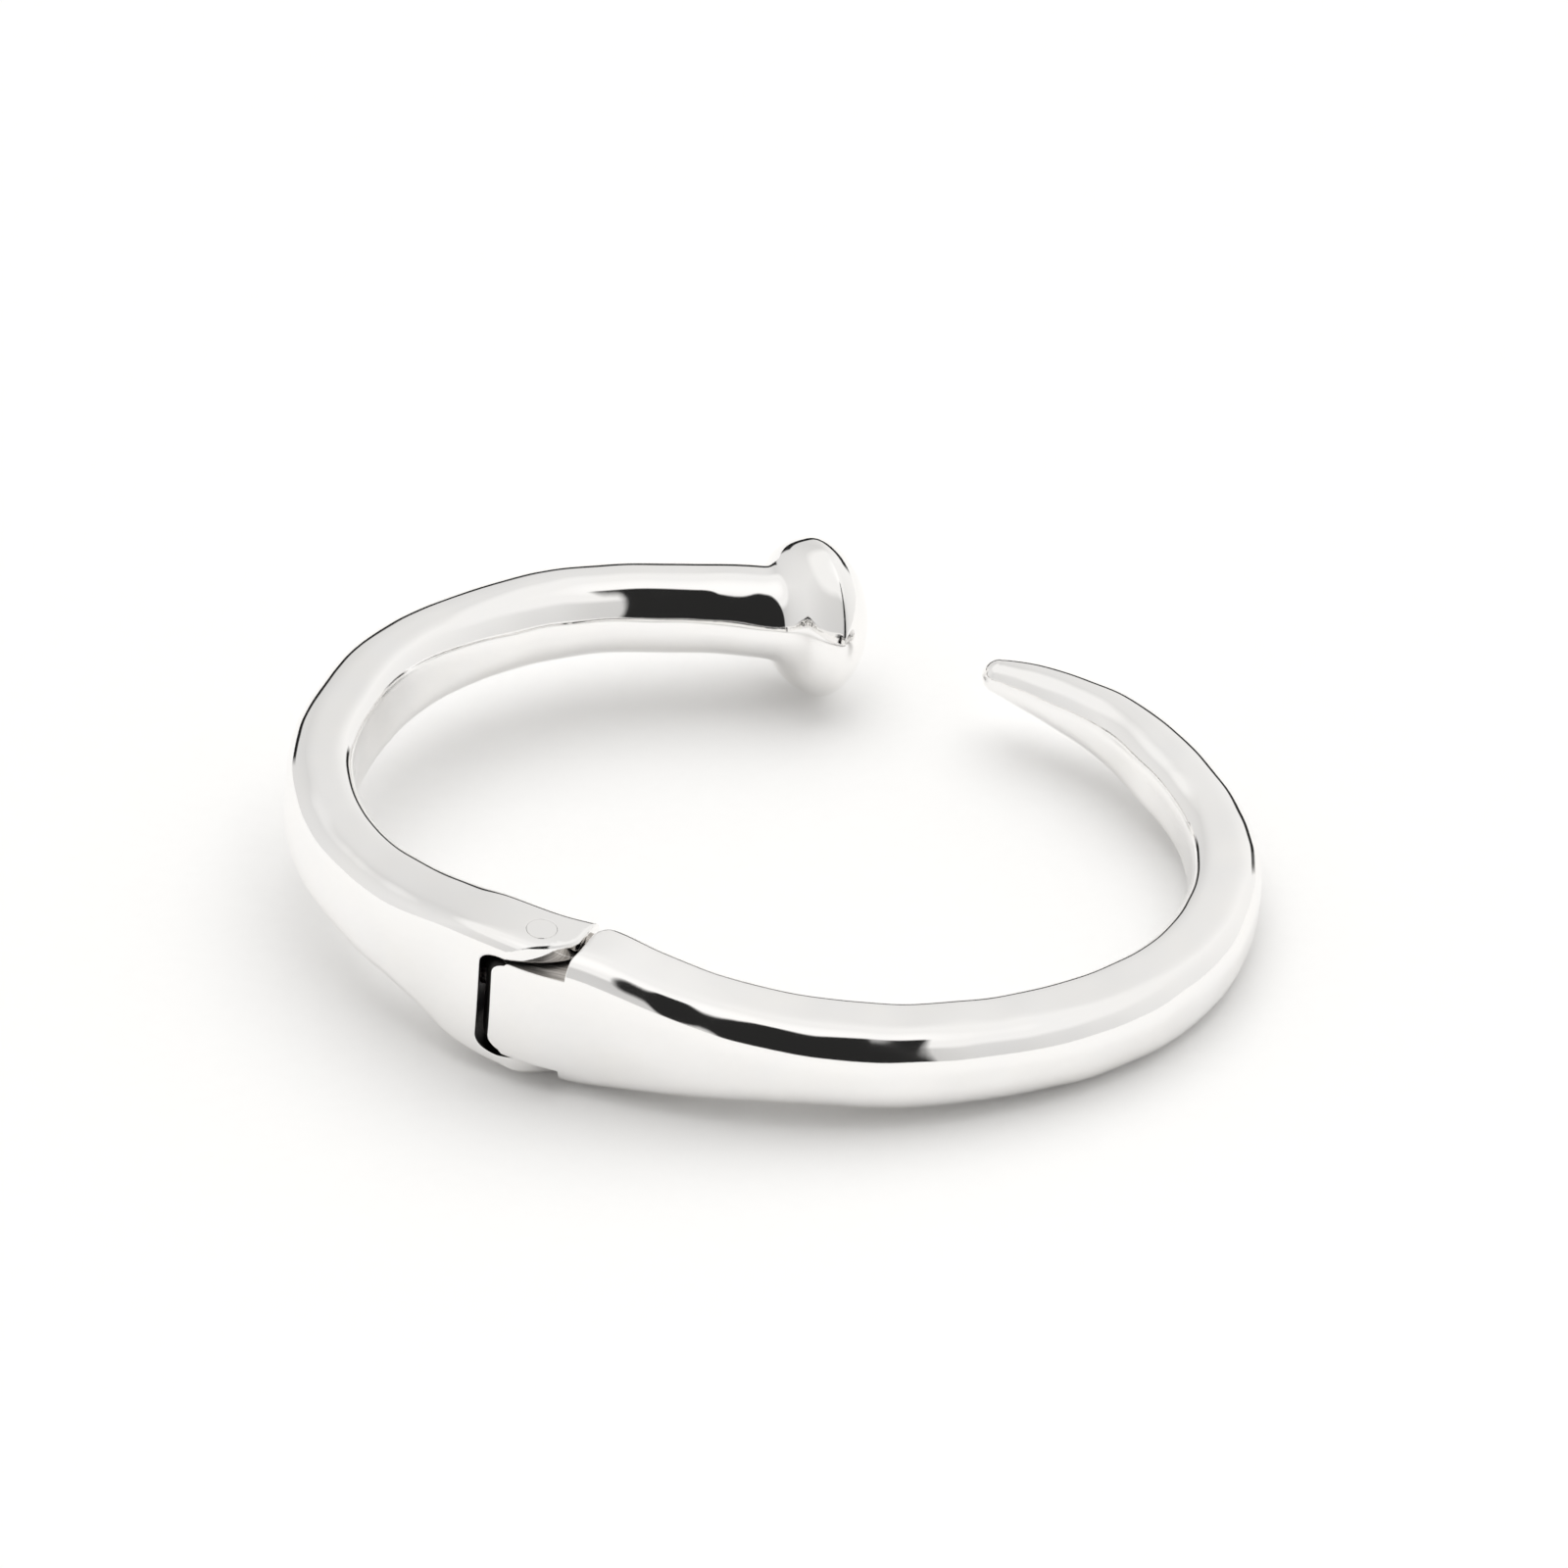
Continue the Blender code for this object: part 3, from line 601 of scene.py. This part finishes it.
# The knuckle's hole takes the silver painted near black too: painted shade.
worked(point_arm, drill("knuckle_hole", KNUCKLE_HOLE, -CLEAR, CLEAR, hinge_place))
polished(point_arm)
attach(point_arm, "point_arm")
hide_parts("point_arm")

# --- Hinge pin -------------------------------------------------------------------------------------
# A steel pin through both ears and the knuckle, filed flush and buffed over with the silver, so only
# a faint ring shows on the ear.
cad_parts["hinge_pin"].data.materials.clear()
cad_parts["hinge_pin"].data.materials.append(
    metal("buffed_pin_steel", (0.93, 0.92, 0.91), 0.05, hand_polish(0.07, 0.04 * MM)))

# --- Plunger and return spring ---------------------------------------------------------------------
# A short ground steel plunger on a coil of drawn wire, both in the bore behind the slot's floor.
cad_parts["plunger"].data.materials.clear()
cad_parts["plunger"].data.materials.append(
    metal("ground_steel", (0.6, 0.6, 0.6), 0.25, saw_marks(1.1)))
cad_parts["return_spring"].data.materials.clear()
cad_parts["return_spring"].data.materials.append(
    metal("drawn_wire", (0.5, 0.5, 0.5), 0.3, saw_marks(0.2)))

# --- Table, light and camera -------------------------------------------------------------------------
# The bangle lies on a pale table, on its nail head, its lower ear and the point arm, so the table
# stands a little askew to the bangle's own level.
VIEW_TURN = math.radians(14.0)
VIEW_SHIFT = Vector((-0.125 * MM, 1.05 * MM, 0.0))
TILT_ACROSS, TILT_AWAY = -0.075, 0.040
LEVEL = 5.0 * MM
ELEVATION = math.radians(35.0)
DISTANCE = 560.0 * MM

rocked = Matrix.Rotation(math.atan(TILT_AWAY), 4, "X") @ Matrix.Rotation(-math.atan(TILT_ACROSS), 4, "Y")
to_table = (Matrix.Translation((0.0, 0.0, LEVEL)) @ rocked
            @ Matrix.Translation(VIEW_SHIFT) @ Matrix.Rotation(-VIEW_TURN, 4, "Z")
            @ Matrix.Translation(-oval_middle))
from_table = to_table.inverted()
lowest = 1.0
for piece in (head_arm, point_arm):
    lowest = min(lowest, min((to_table @ v.co).z for v in piece.data.vertices))

bpy.ops.mesh.primitive_plane_add(size=3.0)
table = bpy.context.object
table.name = table.data.name = "table"
table.data.transform(from_table @ Matrix.Translation((0.0, 0.0, lowest)))
paper = bpy.data.materials.new("table_paper")
paper.use_nodes = True
finish = Finish(paper.node_tree)
spot = finish.add("ShaderNodeTexCoord", {}, output=3)
grain = finish.add("ShaderNodeTexNoise", {}, Vector=spot, Scale=900.0)
tones = {"stops": ((0.3, (0.955, 0.952, 0.945)), (0.7, (0.965, 0.962, 0.955)))}
shade = finish.add("ShaderNodeValToRGB", tones, grain)
paper_shader = paper.node_tree.nodes["Principled BSDF"]
finish.feed(paper_shader.inputs["Base Color"], shade)
paper_shader.inputs["Roughness"].default_value = 0.9
paper_shader.inputs["Specular IOR Level"].default_value = 0.1
table.data.materials.append(paper)

# The light is a plain white tent: walls that differ a little, a pale ceiling, a low dark gap where the
# back wall ends short of the table, and a dark opening at the front that narrows as it leans overhead.
WALLS = ((0.0, 0.55), (0.25, 0.80), (0.45, 0.68), (0.60, 0.92), (0.80, 0.80), (1.0, 0.55))
CEILING, ZENITH = 0.90, 1.02
TENT_LIGHT = 1.06
OPENING_LIGHT = 0.022
GAP_HEIGHT = 0.20
GAP_REACH = 0.68
OPENING_HALF, OPENING_NARROWS = 0.33, 0.31
OPENING_LEANS = 0.24

world = bpy.data.worlds.new("studio")
bpy.context.scene.world = world
world.use_nodes = True
finish = Finish(world.node_tree)
backdrop = world.node_tree.nodes["Background"]
facing = finish.add("ShaderNodeTexCoord", {}, output=0)
right, away, up = (
    finish.add("ShaderNodeVectorMath", {"operation": "DOT_PRODUCT"}, facing,
               tuple(from_table.to_3x3() @ Vector(axis)), output=1)
    for axis in ((1.0, 0.0, 0.0), (0.0, 1.0, 0.0), (0.0, 0.0, 1.0)))


def within(value, low, high, soft):
    """One where a value lies between two others, fading out at both."""
    return ((value - low) / soft + 0.5).clipped() * ((high - value) / soft + 0.5).clipped()


turn = right.maths("ARCTAN2", right, away)
wall = finish.add("ShaderNodeValToRGB", {"stops": [(place, (light,) * 3) for place, light in WALLS]},
                  turn / (2 * math.pi) + 0.5)
overhead = within(up, 0.73, 9.0, 0.12)
ceiling = CEILING + within(up, 0.95, 9.0, 0.1) * (ZENITH - CEILING)
tent = wall * (1.0 - overhead) + ceiling * overhead
reach = away + 1.0
offset = right.maths("ABSOLUTE", right - reach * OPENING_LEANS)
opening = (within(OPENING_HALF - reach * OPENING_NARROWS - offset, 0.0, 9.0, 0.04)
           * within(away, -9.0, -0.1, 0.06) * within(up, -0.05, 9.0, 0.05))
gap = within(turn, -GAP_REACH, GAP_REACH, 0.08) * within(up, -1.0, GAP_HEIGHT, 0.04)
shut = 1.0 - (1.0 - opening) * (1.0 - gap)
tent = tent * TENT_LIGHT * (1.0 - shut) + shut * OPENING_LIGHT
seen = finish.add("ShaderNodeLightPath", {}, output=0)
lit = finish.add("ShaderNodeMix", {"data_type": "RGBA"}, output=2)
warm = finish.add("ShaderNodeCombineColor", {}, tent, tent * 0.992, tent * 0.98)
for socket, value in ((0, seen), (6, warm), (7, (0.975, 0.968, 0.953, 1.0))):
    finish.feed(lit.socket.node.inputs[socket], value)
finish.feed(backdrop.inputs["Color"], lit)

lamp = bpy.data.objects.new("overhead_softbox", bpy.data.lights.new("overhead_softbox", "SUN"))
bpy.context.scene.collection.objects.link(lamp)
lamp.data.angle = math.radians(70.0)
lamp.data.energy = 0.95
lamp.visible_glossy = False
lamp.matrix_world = from_table @ Vector((0.1, 0.35, 1.0)).to_track_quat("Z", "Y").to_matrix().to_4x4()

camera = bpy.data.objects.new("camera", bpy.data.cameras.new("camera"))
bpy.context.scene.collection.objects.link(camera)
camera.data.sensor_width = 36.0
camera.data.lens = 180.18
camera.data.shift_x = 0.00625
camera.data.shift_y = 0.03125
camera.data.clip_start = 0.01
aim = Vector((0.0, 0.0, 5.0 * MM))
ahead = Vector((0.0, math.cos(ELEVATION), -math.sin(ELEVATION)))
spot = Matrix.Translation(aim - ahead * DISTANCE) @ ahead.to_track_quat("-Z", "Y").to_matrix().to_4x4()
camera.matrix_world = from_table @ spot
bpy.context.scene.camera = camera
bpy.context.scene.view_settings.view_transform = "Standard"
